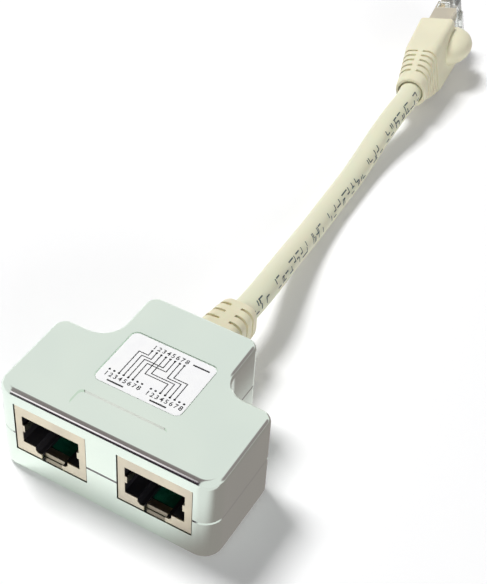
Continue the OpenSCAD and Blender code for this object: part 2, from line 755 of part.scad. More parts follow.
// Sheet wrapped flush round the plug body, open over the latch and over the contacts
module plug_shield() color([0.8, 0.79, 0.72]) {
    latch_gap = latch_root_w + 0.4;
    blades_w = (poles + 1) * pole_pitch;
    at_plug() difference() {
        translate([plug_base, plug_rear, -plug_w / 2]) cube([plug_top - plug_base, plug_shield_l, plug_w]);
        translate([plug_base + sheet, plug_rear - 1, -plug_w / 2 + sheet])
            cube([plug_top - plug_base - 2 * sheet, plug_l, plug_w - 2 * sheet]);
        translate([plug_off, plug_rear + 5, -latch_gap / 2]) cube([plug_t, plug_l, latch_gap]);
        translate([plug_base - 1, blade_rear - 0.5, -blades_w / 2]) cube([1 + 2 * sheet, plug_l, blades_w]);
    }
}

// Wires that fan from the jacket end to the flat row in the plug
module plug_wires() color([0.9, 0.6, 0.2]) {
    start_y = plug_rear - wire_end;
    at_plug() for (i = [0:7]) {
        c = core_place(i);
        slot = i < 4 ? 2 * (i % 4) : 2 * (i % 4) + 1;
        start = [c[1], start_y + wire_gap, c[0]];
        end = [wire_row_u, plug_rear, pole_x(slot)];
        path = concat(
            wire_path(start, [0, 1.8, 0], end, [0, 1.8, 0], 5),
            [[wire_row_u, channel_end - 0.1, pole_x(slot)]]
        );
        loft(tube_rings(path, wire_dia / 2, 8));
    }
}

module plug_contacts() color([0.9, 0.75, 0.35]) {
    inner_u = wire_row_u - wire_dia / 2 - 0.02;
    at_plug() for (i = [0:poles - 1])
        translate([0, 0, pole_x(i) - blade_t / 2]) linear_extrude(blade_t) polygon([
            [plug_base + 0.3, blade_rear], [inner_u, blade_rear], [inner_u, channel_end - 0.2],
            [plug_base + 1.4, blade_front], [plug_base + 0.8, blade_front], [plug_base + 0.3, blade_front - 0.8]
        ]);
}

upper_shell();
lower_shell();
wiring_label();
circuit_board();
at_jack(left) jack_shield();  // left_jack_shield
at_jack(right) jack_shield();  // right_jack_shield
at_jack(left) jack_body();  // left_jack_body
at_jack(right) jack_body();  // right_jack_body
at_jack(left) contact_insert();  // left_contact_insert
at_jack(right) contact_insert();  // right_contact_insert
at_jack(left) pin_block();  // left_pin_block
at_jack(right) pin_block();  // right_pin_block
at_jack(left) jack_contacts();  // left_jack_contacts
at_jack(right) jack_contacts();  // right_jack_contacts
cable_inner_end();
cable_wires();
screen_clamp();
strain_relief();
cable();
cable_plug_end();
plug_boot();
plug_body();
plug_shield();
plug_wires();
plug_contacts();
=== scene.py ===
"""Looks of a short network splitter: a metallised T-shaped housing, a round cable and its plug."""

import logging
import math
from dataclasses import dataclass
from enum import Enum
from typing import Any, Callable, Iterable, Sequence

import bmesh
import bpy
from mathutils import Matrix, Vector


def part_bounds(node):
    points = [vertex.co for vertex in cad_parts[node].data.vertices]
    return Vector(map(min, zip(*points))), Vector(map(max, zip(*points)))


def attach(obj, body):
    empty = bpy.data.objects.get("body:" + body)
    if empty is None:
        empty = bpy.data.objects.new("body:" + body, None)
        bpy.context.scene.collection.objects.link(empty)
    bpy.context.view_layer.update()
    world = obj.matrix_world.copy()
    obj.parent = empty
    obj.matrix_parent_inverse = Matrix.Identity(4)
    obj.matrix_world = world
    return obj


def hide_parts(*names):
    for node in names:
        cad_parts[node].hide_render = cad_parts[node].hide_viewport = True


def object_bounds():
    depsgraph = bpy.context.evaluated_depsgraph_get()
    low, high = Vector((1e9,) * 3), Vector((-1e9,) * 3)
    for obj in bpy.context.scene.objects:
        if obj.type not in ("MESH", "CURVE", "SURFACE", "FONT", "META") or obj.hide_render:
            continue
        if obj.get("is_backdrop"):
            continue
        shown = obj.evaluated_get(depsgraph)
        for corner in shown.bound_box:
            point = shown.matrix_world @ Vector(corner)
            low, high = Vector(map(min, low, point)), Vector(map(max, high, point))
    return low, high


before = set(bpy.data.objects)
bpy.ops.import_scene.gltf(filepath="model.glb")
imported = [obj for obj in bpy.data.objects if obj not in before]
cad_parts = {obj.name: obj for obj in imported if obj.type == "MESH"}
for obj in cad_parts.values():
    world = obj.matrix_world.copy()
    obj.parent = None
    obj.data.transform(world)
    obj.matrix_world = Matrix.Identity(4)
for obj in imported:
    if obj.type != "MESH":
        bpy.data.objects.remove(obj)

LOG = logging.getLogger("splitter")
MM = 0.001
CAD_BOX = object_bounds()
SQUARE_MM = 1e6  # in a square metre
NO_ANGLE = 4.0  # above any limit, for edges and faces that have no angle
TINY = 1e-16
WHITE = (1.0, 1.0, 1.0)

Colour = tuple[float, float, float]
Place = tuple[float, float, float]
Point = tuple[float, float]
Band = tuple[float, float, float, float]
Stop = tuple[float, Colour]
Draft = bmesh.types.BMesh
Piece = bpy.types.Object
Socket = bpy.types.NodeSocket
Tree = bpy.types.NodeTree


class Slot(str, Enum):
    """Material slots of the record."""

    HOUSING = "housing_metallised"
    LABEL = "label_paper"
    BOARD = "board_green"
    SCREEN = "screen_sheet"
    INSULATOR = "insulator_black"
    INSERT = "insert_green"
    CONTACT = "contact_gold"
    JACKET = "cable_jacket"
    WIRE = "wire_insulation"
    CLAMP = "clamp_tin"
    RELIEF = "relief_beige"
    BOOT = "boot_cream"
    PLUG = "plug_clear"


class Side(Enum):
    """The two sides of the housing, as the sign of X."""

    LEFT = -1
    RIGHT = 1

    @property
    def word(self) -> str:
        """Name of the side in node names."""
        return self.name.lower()


class Kind(Enum):
    """Socket types of node groups."""

    NUMBER = "NodeSocketFloat"
    COUNT = "NodeSocketInt"
    VECTOR = "NodeSocketVector"
    COLOUR = "NodeSocketColor"
    SHAPE = "NodeSocketGeometry"
    MATERIAL = "NodeSocketMaterial"


Sockets = dict[str, Kind]


def opaque(colour: Colour) -> tuple[float, float, float, float]:
    """The same colour with full alpha."""
    return (*colour, 1.0)


class Graph:
    """Adds nodes to a tree and links them; most methods give the new node's output."""

    def __init__(self, tree: Tree) -> None:
        """Takes a tree and empties it."""
        self.tree = tree
        tree.nodes.clear()

    def add(self, kind: str, inputs: dict[str | int, Any] | None = None, **settings: Any) -> bpy.types.Node:
        """Makes one node.

        Args:
            kind: Blender's name of the node type.
            inputs: Values or sockets for its inputs, by name or number.
            **settings: Attributes of the node.

        Returns:
            The new node.
        """
        node = self.tree.nodes.new(kind)
        for name, value in settings.items():
            setattr(node, name, value)
        for key, value in (inputs or {}).items():
            self.feed(value, node.inputs[key])
        return node

    def feed(self, value: Any, socket: Socket) -> None:
        """Links a socket to an input, or writes a plain value on it.

        Args:
            value: An output socket or a plain value.
            socket: The input that takes it.
        """
        if isinstance(value, Socket):
            self.tree.links.new(value, socket)
        else:
            socket.default_value = value

    def math(self, operation: str, *values: Any) -> Socket:
        """Result of a Math node on the given values."""
        return self.add("ShaderNodeMath", dict(enumerate(values)), operation=operation).outputs[0]

    def vector_math(self, operation: str, *values: Any) -> Socket:
        """Vector that a Vector Math node makes of the given values."""
        return self.add("ShaderNodeVectorMath", dict(enumerate(values)), operation=operation).outputs[0]

    def measure(self, operation: str, *values: Any) -> Socket:
        """Number that a Vector Math node makes of the given values."""
        return self.add("ShaderNodeVectorMath", dict(enumerate(values)), operation=operation).outputs["Value"]

    def axes(self, vector: Socket) -> Any:
        """Outputs X, Y and Z of a vector."""
        return self.add("ShaderNodeSeparateXYZ", {0: vector}).outputs

    def object_place(self) -> Socket:
        """Place on the object, in its own coordinates."""
        return self.add("ShaderNodeTexCoord").outputs["Object"]

    def noise(self, place: Socket, scale: Any, detail: float, roughness: float = 0.5) -> Socket:
        """Cloudy noise from 0 to 1 at a place."""
        inputs = {"Vector": place, "Scale": scale, "Detail": detail, "Roughness": roughness}
        return self.add("ShaderNodeTexNoise", inputs).outputs["Fac"]

    def ease(self, value: Socket, start: float, full: float, least: float = 0.0) -> Socket:
        """Factor that rises softly from the least to one, between start and full."""
        inputs = {"Value": value, "From Min": start, "From Max": full, "To Min": least}
        return self.add("ShaderNodeMapRange", inputs, interpolation_type="SMOOTHSTEP").outputs[0]

    def between(self, value: Socket, band: Band) -> Socket:
        """One inside a band, none outside it: starts, is full, is still full, stops."""
        low, in_low, in_high, high = band
        return self.math("MULTIPLY", self.ease(value, low, in_low), self.ease(value, high, in_high))

    def blend(self, factor: Socket, first: Any, second: Any) -> Socket:
        """Colour between two colours."""
        return self.add("ShaderNodeMix", {0: factor, 6: first, 7: second}, data_type="RGBA").outputs[2]

    def mix(self, factor: Socket, first: Socket, second: Socket) -> Socket:
        """Shader between two shaders."""
        return self.add("ShaderNodeMixShader", {0: factor, 1: first, 2: second}).outputs[0]

    def glow(self, colour: Colour, strength: float = 1.0) -> Socket:
        """Shader that shows a plain colour whatever the lamps do."""
        return self.add("ShaderNodeEmission", {"Color": opaque(colour), "Strength": strength}).outputs[0]

    def backdrop(self, colour: Any, strength: float = 1.0) -> Socket:
        """Shader of the world in one colour."""
        return self.add("ShaderNodeBackground", {"Color": colour, "Strength": strength}).outputs[0]


def new_sockets(tree: Tree, way: str, sockets: Sockets) -> None:
    """Adds named sockets to a group, as INPUT or OUTPUT."""
    for name, kind in sockets.items():
        tree.interface.new_socket(name, in_out=way, socket_type=kind.value)


class Texture:
    """Shader node groups that several finishes share, each built once."""

    _built: dict[str, Tree] = {}

    @classmethod
    def grain(cls) -> Tree:
        """Fine moulded grain over soft waves, as a height from 0 to 1."""
        inputs = {"Vector": Kind.VECTOR, "Grain": Kind.NUMBER, "Wave": Kind.NUMBER, "Share": Kind.NUMBER}
        return cls._once("moulded_grain", inputs, {"Height": Kind.NUMBER}, cls._fill_grain)

    @classmethod
    def drift(cls) -> Tree:
        """Slow change between two colours, with a mask of the same clouds."""
        inputs = {"Vector": Kind.VECTOR, "First": Kind.COLOUR, "Second": Kind.COLOUR, "Scale": Kind.NUMBER}
        outputs = {"Colour": Kind.COLOUR, "Mask": Kind.NUMBER}
        return cls._once("colour_drift", inputs, outputs, cls._fill_drift)

    @classmethod
    def streaks(cls) -> Tree:
        """Fine parallel rolling marks, as a value from 0 to 1."""
        inputs = {"Vector": Kind.VECTOR, "Scale": Kind.NUMBER, "Stretch": Kind.NUMBER}
        return cls._once("rolling_streaks", inputs, {"Value": Kind.NUMBER}, cls._fill_streaks)

    @classmethod
    def _once(cls, name: str, inputs: Sockets, outputs: Sockets,
              fill: Callable[[Graph, Any], dict[str, Socket]]) -> Tree:
        """Builds a group the first time that it is asked for.

        Args:
            name: The group's name.
            inputs: Its input sockets.
            outputs: Its output sockets.
            fill: Makes the outputs from the graph and the inputs.

        Returns:
            The node group.
        """
        if name not in cls._built:
            tree = bpy.data.node_groups.new(name, "ShaderNodeTree")
            new_sockets(tree, "INPUT", inputs)
            new_sockets(tree, "OUTPUT", outputs)
            graph = Graph(tree)
            graph.add("NodeGroupOutput", fill(graph, graph.add("NodeGroupInput").outputs))
            cls._built[name] = tree
        return cls._built[name]

    @staticmethod
    def _fill_grain(graph: Graph, given: Any) -> dict[str, Socket]:
        """Nodes of the moulded grain."""
        fine = graph.noise(given["Vector"], given["Grain"], 3.0, 0.6)
        wave = graph.noise(given["Vector"], given["Wave"], 1.0)
        mixed = graph.add("ShaderNodeMix", {"Factor": given["Share"], "A": wave, "B": fine})
        return {"Height": mixed.outputs["Result"]}

    @staticmethod
    def _fill_drift(graph: Graph, given: Any) -> dict[str, Socket]:
        """Nodes of the colour drift."""
        mask = graph.ease(graph.noise(given["Vector"], given["Scale"], 2.0, 0.55), 0.35, 0.65)
        return {"Colour": graph.blend(mask, given["First"], given["Second"]), "Mask": mask}

    @staticmethod
    def _fill_streaks(graph: Graph, given: Any) -> dict[str, Socket]:
        """Nodes of the rolling marks."""
        spread = graph.add("ShaderNodeCombineXYZ", {"X": given["Stretch"], "Y": 1.0, "Z": 1.0}).outputs[0]
        stretched = graph.vector_math("DIVIDE", given["Vector"], spread)
        return {"Value": graph.noise(stretched, given["Scale"], 4.0, 0.7)}


@dataclass(frozen=True)
class Finish:
    """A solid finish: two near colours that drift, a range of roughness and a grain."""

    name: str
    slot: Slot
    first: Colour
    second: Colour
    drift_scale: float = 60.0
    smoothest: float = 0.4
    roughest: float = 0.5
    metallic: float = 0.0
    grain_scale: float = 4000.0
    wave_scale: float = 120.0
    grain_share: float = 0.4
    bump_height: float = 0.00002
    bump_strength: float = 0.25
    coat: float = 0.0
    coat_roughness: float = 0.12
    scatter: float = 0.0
    scatter_reach: float = 0.0012
    streaked: bool = False
    streak_scale: float = 900.0
    streak_stretch: float = 18.0
    transmission: float = 0.0
    refraction: float = 1.45

    def material(self) -> bpy.types.Material:
        """Builds the material, or returns the one that was built before.

        Returns:
            The material.
        """
        known = bpy.data.materials.get(self.name)
        if known:
            return known
        material = bpy.data.materials.new(self.name)
        material.use_nodes = True
        material.diffuse_color = opaque(self.first)
        graph = Graph(material.node_tree)
        place = graph.object_place()
        colours = {"Vector": place, "First": opaque(self.first), "Second": opaque(self.second),
                   "Scale": self.drift_scale}
        drift = graph.add("ShaderNodeGroup", colours, node_tree=Texture.drift())
        uneven = drift.outputs["Mask"]
        if self.streaked:
            marks = {"Vector": place, "Scale": self.streak_scale, "Stretch": self.streak_stretch}
            height = graph.add("ShaderNodeGroup", marks, node_tree=Texture.streaks()).outputs["Value"]
            uneven = height
        else:
            waves = {"Vector": place, "Grain": self.grain_scale, "Wave": self.wave_scale,
                     "Share": self.grain_share}
            height = graph.add("ShaderNodeGroup", waves, node_tree=Texture.grain()).outputs["Height"]
        rough = graph.add("ShaderNodeMapRange", {"Value": uneven, "To Min": self.smoothest,
                                                 "To Max": self.roughest})
        bump = graph.add("ShaderNodeBump", {"Height": height, "Strength": self.bump_strength,
                                            "Distance": self.bump_height})
        shader = graph.add("ShaderNodeBsdfPrincipled", {
            "Base Color": drift.outputs["Colour"], "Roughness": rough.outputs["Result"],
            "Metallic": self.metallic, "Normal": bump.outputs["Normal"], "Coat Weight": self.coat,
            "Coat Roughness": self.coat_roughness, "Subsurface Weight": self.scatter,
            "Subsurface Scale": self.scatter_reach, "IOR": self.refraction,
            "Transmission Weight": self.transmission,
        })
        graph.add("ShaderNodeOutputMaterial", {"Surface": shader.outputs["BSDF"]})
        return material


class Finishes:
    """Every finish of the splitter."""

    HOUSING = Finish("metallised_silver", Slot.HOUSING, (0.83, 0.92, 0.83), (0.80, 0.895, 0.815), 45.0, 0.11,
                     0.15, metallic=1.0, grain_scale=900.0, wave_scale=90.0, grain_share=0.25,
                     bump_height=0.00003, bump_strength=0.08)
    SCREEN = Finish("tinned_sheet", Slot.SCREEN, (0.76, 0.69, 0.54), (0.68, 0.62, 0.50), 140.0, 0.26, 0.42,
                    metallic=1.0, bump_height=0.000006, bump_strength=0.3, streaked=True)
    CLAMP = Finish("tinned_strap", Slot.CLAMP, (0.62, 0.62, 0.60), (0.55, 0.55, 0.54), 140.0, 0.25, 0.4,
                   metallic=1.0, bump_height=0.000006, bump_strength=0.3, streaked=True)
    INSULATOR = Finish("moulded_black", Slot.INSULATOR, (0.012, 0.012, 0.014), (0.02, 0.019, 0.022), 200.0,
                       0.42, 0.56, bump_strength=0.35)
    INSERT = Finish("moulded_green", Slot.INSERT, (0.008, 0.14, 0.105), (0.012, 0.17, 0.125), 200.0, 0.35,
                    0.5)
    BOARD = Finish("solder_mask_green", Slot.BOARD, (0.006, 0.12, 0.07), (0.01, 0.16, 0.09), 400.0, 0.22,
                   0.3, coat=0.4)
    CONTACT = Finish("gold_plate", Slot.CONTACT, (0.86, 0.62, 0.24), (0.80, 0.55, 0.2), 500.0, 0.14, 0.24,
                     metallic=1.0, bump_height=0.000004, bump_strength=0.2)
    LABEL = Finish("label_white", Slot.LABEL, (0.95, 0.95, 0.95), (0.93, 0.93, 0.94), 500.0, 0.42, 0.5,
                   grain_scale=9000.0, bump_height=0.000004, bump_strength=0.3)
    JACKET = Finish("jacket_cream", Slot.JACKET, (0.77, 0.755, 0.565), (0.74, 0.74, 0.565), 35.0, 0.38, 0.5,
                    bump_height=0.00001, bump_strength=0.2, scatter=0.08)
    RELIEF = Finish("moulded_beige", Slot.RELIEF, (0.78, 0.735, 0.535), (0.75, 0.705, 0.515), 90.0, 0.42,
                    0.55, bump_strength=0.3, scatter=0.08)
    BOOT = Finish("moulded_cream", Slot.BOOT, (0.81, 0.775, 0.575), (0.78, 0.745, 0.555), 90.0, 0.42, 0.55,
                  bump_strength=0.3, scatter=0.08)
    WIRE = Finish("wire_orange", Slot.WIRE, (0.75, 0.34, 0.06), (0.7, 0.3, 0.05), 200.0, 0.35, 0.45)
    CLEAR = Finish("clear_plastic", Slot.PLUG, (0.93, 0.95, 0.92), (0.90, 0.93, 0.90), 200.0, 0.06, 0.12,
                   bump_height=0.000004, bump_strength=0.1, transmission=0.92, refraction=1.58)
    INK = Finish("print_black", Slot.LABEL, (0.012, 0.012, 0.013), (0.02, 0.02, 0.022), 900.0, 0.45, 0.6)
    JACKET_INK = Finish("print_grey", Slot.JACKET, (0.05, 0.075, 0.085), (0.10, 0.13, 0.14), 900.0, 0.45,
                        0.6)


def new_object(name: str, mesh: bpy.types.ID) -> Piece:
    """Puts a mesh or curve into the scene as an object at the origin.

    Args:
        name: The piece's name.
        mesh: Its mesh or curve, with its place in it.

    Returns:
        The new object.
    """
    piece = bpy.data.objects.new(name, mesh)
    bpy.context.scene.collection.objects.link(piece)
    return piece


def settle(piece: Piece, finish: Finish, replaced: Sequence[str] = ()) -> Piece:
    """Gives a piece its finish and its body, and hides the CAD nodes that it stands for.

    Args:
        piece: The object.
        finish: Its finish.
        replaced: Names of the CAD nodes that it stands for.

    Returns:
        The same object.
    """
    if not piece.data.materials:
        piece.data.materials.append(finish.material())
    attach(piece, "root")
    if replaced:
        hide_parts(*replaced)
    LOG.info("piece %s, %d faces", piece.name, len(piece.data.polygons))
    return piece


def baked(piece: Piece, name: str) -> Piece:
    """Turns a piece with live modifiers into a plain mesh.

    Args:
        piece: The object with its modifiers; it is removed.
        name: Name of the plain object.

    Returns:
        The new plain object.
    """
    bpy.context.view_layer.update()
    graph = bpy.context.evaluated_depsgraph_get()
    mesh = bpy.data.meshes.new_from_object(piece.evaluated_get(graph), preserve_all_data_layers=True,
                                           depsgraph=graph)
    bpy.data.objects.remove(piece)
    mesh.name = name
    return new_object(name, mesh)


@dataclass(frozen=True)
class Skin:
    """A smooth copy of a CAD node: welded, its flats joined, its edges rounded a little."""

    node: str
    name: str
    finish: Finish
    edge: float = 0.0
    edge_angle: float = 50.0
    smooth_angle: float = 35.0
    weld: float = 2e-6
    flat_angle: float = 0.4
    level_angle: float = 0.3

    def build(self) -> Piece:
        """Makes the piece in place of its node.

        Returns:
            The finished piece.
        """
        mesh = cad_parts[self.node].data.copy()
        mesh.materials.clear()
        made = bmesh.new()
        made.from_mesh(mesh)
        bmesh.ops.remove_doubles(made, verts=made.verts[:], dist=self.weld)
        if self.edge:
            bmesh.ops.dissolve_limit(made, angle_limit=math.radians(self.flat_angle), verts=made.verts[:],
                                     edges=made.edges[:])
            sharp = [e for e in made.edges if e.calc_face_angle(0.0) > math.radians(self.edge_angle)]
            bmesh.ops.bevel(made, geom=sharp, offset=self.edge, offset_type="OFFSET", segments=2,
                            profile=0.5, affect="EDGES", clamp_overlap=True)
            bmesh.ops.triangulate(made, faces=made.faces[:])
        for face in made.faces:
            face.smooth = True
        normals = self.normals(made)
        made.to_mesh(mesh)
        made.free()
        mesh.normals_split_custom_set(normals)
        return settle(new_object(self.name, mesh), self.finish, [self.node])

    def normals(self, made: Draft) -> list[Vector]:
        """Finds a normal for each face corner: flats stay level and the strips between them round off.

        Args:
            made: The mesh.

        Returns:
            The normals, in the order of the corners.
        """
        made.faces.ensure_lookup_table()
        made.normal_update()
        weights = self.flat_areas(made)
        limit = math.radians(self.smooth_angle)
        normals = []
        for face in made.faces:
            for corner in face.loops:
                fan, todo = {face}, [face]
                while todo:
                    now = todo.pop()
                    for edge in now.edges:
                        if corner.vert not in edge.verts or edge.calc_face_angle(NO_ANGLE) > limit:
                            continue
                        fresh = [other for other in edge.link_faces if other not in fan]
                        fan.update(fresh)
                        todo.extend(fresh)
                total = sum((f.normal * weights[f.index] for f in fan), Vector())
                normals.append(total.normalized() if total.length > TINY else face.normal.copy())
        return normals

    def flat_areas(self, made: Draft) -> list[float]:
        """Squared area of the flat that each face belongs to.

        Args:
            made: The mesh.

        Returns:
            One value for each face.
        """
        limit = math.radians(self.level_angle)
        weights = [0.0] * len(made.faces)
        done: set[int] = set()
        for seed in made.faces:
            if seed.index in done:
                continue
            flat, todo = [seed], [seed]
            done.add(seed.index)
            while todo:
                for edge in todo.pop().edges:
                    for other in edge.link_faces:
                        if other.index not in done and other.normal.angle(seed.normal, NO_ANGLE) < limit:
                            done.add(other.index)
                            flat.append(other)
                            todo.append(other)
            area = sum(f.calc_area() for f in flat) * SQUARE_MM
            for face in flat:
                weights[face.index] = area * area
        return weights


def part_box(node: str) -> tuple[Vector, Vector]:
    """Lowest and highest corner of a CAD node, in metres."""
    low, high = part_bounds(node)
    return Vector(low), Vector(high)


class GeometryTree:
    """A Geometry Nodes tree with named inputs, which ends in real meshes with a material."""

    def __init__(self, name: str, inputs: Sockets) -> None:
        """Makes the tree and its sockets.

        Args:
            name: The tree's name.
            inputs: The inputs after the geometry.
        """
        shape = {"Geometry": Kind.SHAPE}
        self.tree = bpy.data.node_groups.new(name, "GeometryNodeTree")
        new_sockets(self.tree, "INPUT", {**shape, **inputs, "Material": Kind.MATERIAL})
        new_sockets(self.tree, "OUTPUT", shape)
        self.graph = Graph(self.tree)
        self.given = self.graph.add("NodeGroupInput").outputs

    def end(self, geometry: Socket) -> None:
        """Closes the tree with Realize Instances and Set Material.

        Args:
            geometry: What the tree has made.
        """
        dressed = {"Geometry": self.real(geometry), "Material": self.given["Material"]}
        result = self.graph.add("GeometryNodeSetMaterial", dressed).outputs[0]
        self.graph.add("NodeGroupOutput", {"Geometry": result})

    def real(self, geometry: Socket) -> Socket:
        """Turns instances into real geometry."""
        return self.graph.add("GeometryNodeRealizeInstances", {"Geometry": geometry}).outputs[0]

    def row(self, start: Any = (0.0, 0.0, 0.0)) -> Socket:
        """Row of points along X, with the tree's own count and pitch.

        Args:
            start: Place of the first point.

        Returns:
            The points.
        """
        step = self.along(self.given["Pitch"])
        inputs = {"Count": self.given["Count"], "Start Location": start, "Offset": step}
        return self.graph.add("GeometryNodeMeshLine", inputs).outputs["Mesh"]

    def along(self, distance: Socket) -> Socket:
        """Vector along X."""
        return self.graph.add("ShaderNodeCombineXYZ", {"X": distance}).outputs[0]

    def grow(self, name: str, finish: Finish, values: dict[str, Any],
             base: bpy.types.ID | None = None) -> Piece:
        """Runs the tree and keeps its mesh.

        Args:
            name: Name of the piece.
            finish: Its finish.
            values: Values of the named inputs.
            base: A curve or mesh that the tree starts from, or None for an empty mesh.

        Returns:
            A plain mesh object, not yet riding on a body.
        """
        carrier = new_object(name + "_draft", base or bpy.data.meshes.new(name + "_base"))
        modifier = carrier.modifiers.new("grow", "NODES")
        modifier.node_group = self.tree
        sockets = {s.name: s.identifier for s in self.tree.interface.items_tree if s.in_out == "INPUT"}
        for key, value in {**values, "Material": finish.material()}.items():
            modifier[sockets[key]] = value
        return baked(carrier, name)


def catmull(points: Sequence[Vector], steps: int) -> list[Vector]:
    """A smooth line through points.

    Args:
        points: The points that it passes.
        steps: Number of stretches between two of them.

    Returns:
        The points of the smooth line.
    """
    ends = [2 * points[0] - points[1], *points, 2 * points[-1] - points[-2]]
    line = []
    for a, b, c, d in zip(ends, ends[1:], ends[2:], ends[3:]):
        for k in range(steps):
            t = k / steps
            line.append(0.5 * (2 * b + (c - a) * t + (2 * a - 5 * b + 4 * c - d) * t * t
                               + (3 * b - a - 3 * c + d) * t ** 3))
    return line + [points[-1].copy()]


@dataclass
class Cable:
    """The round cable from the strain relief to the boot, with its print."""

    diameter: float = 5.4 * MM
    length: float = 95.1 * MM
    floor_gap: float = 0.004 * MM
    sides: int = 40
    steps: int = 6
    cap_angle: float = 60.0
    print_angle: float = 58.0
    print_height: float = 2.3 * MM
    print_pitch: float = 2.5 * MM
    print_start: float = 1.2 * MM
    print_lift: float = 0.015 * MM
    print_lean: float = 14.0
    print_wide: float = 0.62
    print_rise: float = 0.43
    short_bar: float = 0.8
    stroke: float = 0.3 * MM
    stroke_rows: int = 6
    last_stroke: int = 5
    word_round: float = 13.0
    gap_middle: float = 7.5
    gap_reach: float = 4.5
    seed: int = 11
    seed_step: int = 7
    layers: tuple[Point, ...] = ((0.95, -0.27), (0.85, 0.24), (0.75, 0.0), (0.6, 0.0), (0.4, 0.02))
    origin: Place = (0.4, 30.2, 10.0)
    route: tuple[Place, ...] = (
        (0, 0, 0), (0.15, 5.3, 0), (-0.2, 10.8, -0.6), (-0.9, 15.8, -1.8), (-1.7, 21.3, -3.2),
        (-2.45, 26.8, -4.5), (-3.05, 31.8, -5.6), (-3.6, 37.3, -6.5), (-4.05, 42.8, -7), (-4.4, 47.8, -7.25),
        (-4.65, 53.3, -7.3), (-4.9, 58.8, -7.2), (-5.15, 63.8, -6.9), (-5.4, 68.8, -6.3), (-5.6, 74.3, -5.3),
        (-5.6, 79.3, -4.3), (-5.45, 84, -3.3), (-5.3, 88.6, -2.7), (-6.03, 93.6, -2.7),
    )

    def line(self) -> list[Vector]:
        """Centreline of the cable, in metres."""
        return catmull([(Vector(p) + Vector(self.origin)) * MM for p in self.route], self.steps)

    def curve(self, name: str) -> bpy.types.Curve:
        """Centreline as a curve.

        Args:
            name: The curve's name.

        Returns:
            A curve of one open spline.
        """
        curve = bpy.data.curves.new(name, "CURVE")
        curve.dimensions = "3D"
        spline = curve.splines.new("POLY")
        points = self.line()
        spline.points.add(len(points) - 1)
        for knot, place in zip(spline.points, points):
            knot.co = (*place, 1.0)
        return curve

    def jacket(self) -> Piece:
        """Sweeps the jacket along the centreline.

        Returns:
            The cable's mesh.
        """
        tree = GeometryTree("swept_jacket", {"Radius": Kind.NUMBER, "Sides": Kind.COUNT})
        graph, given = tree.graph, tree.given
        ring = {"Resolution": given["Sides"], "Radius": given["Radius"]}
        circle = graph.add("GeometryNodeCurvePrimitiveCircle", ring).outputs["Curve"]
        sweep = {"Curve": given["Geometry"], "Profile Curve": circle, "Fill Caps": True}
        swept = graph.add("GeometryNodeCurveToMesh", sweep).outputs["Mesh"]
        tree.end(graph.add("GeometryNodeSetShadeSmooth", {"Geometry": swept}).outputs[0])
        radius = self.diameter / 2 - self.floor_gap
        piece = tree.grow("cable_jacket", Finishes.JACKET, {"Radius": radius, "Sides": self.sides},
                          self.curve("cable_line"))
        piece.data.set_sharp_from_angle(angle=math.radians(self.cap_angle))
        return settle(piece, Finishes.JACKET, ["cable"])

    def stroke_set(self, graph: Graph) -> Socket:
        """Makes the few plain strokes that the print repeats, as instances.

        Args:
            graph: The tree that takes them.

        Returns:
            The joined instances.
        """
        high, thick, lean = self.print_height, self.stroke, self.print_lean
        wide, edge = high * self.print_wide, high * self.print_rise
        bars = (
            (thick, high, lean, 0.0), (wide, thick, 0.0, edge), (wide, thick, 0.0, -edge),
            (wide * self.short_bar, thick, 0.0, 0.0), (thick, high / 2, lean, high / 4),
            (thick, high / 2, lean, -high / 4),
        )
        joined = graph.add("GeometryNodeJoinGeometry")
        for across, tall, tilt, rise in bars:
            size = {"Size X": across, "Size Y": tall, "Vertices X": 2, "Vertices Y": self.stroke_rows}
            bar = graph.add("GeometryNodeMeshGrid", size).outputs["Mesh"]
            place = {"Geometry": bar, "Translation": (0.0, rise, 0.0),
                     "Rotation": (0.0, 0.0, -math.radians(tilt))}
            placed = graph.add("GeometryNodeTransform", place).outputs[0]
            kept = graph.add("GeometryNodeGeometryToInstance", {0: placed})
            graph.feed(kept.outputs[0], joined.inputs[0])
        return joined.outputs[0]

    def inside_words(self, graph: Graph) -> Socket:
        """One but at the two places of each round that stay empty between the words.

        Args:
            graph: The tree that takes the nodes.

        Returns:
            The factor.
        """
        place = graph.math("MODULO", graph.add("GeometryNodeInputIndex").outputs[0], self.word_round)
        for offset in (self.gap_middle, self.gap_reach):
            place = graph.math("ABSOLUTE", graph.math("SUBTRACT", place, offset))
        return graph.math("GREATER_THAN", place, 0.5)

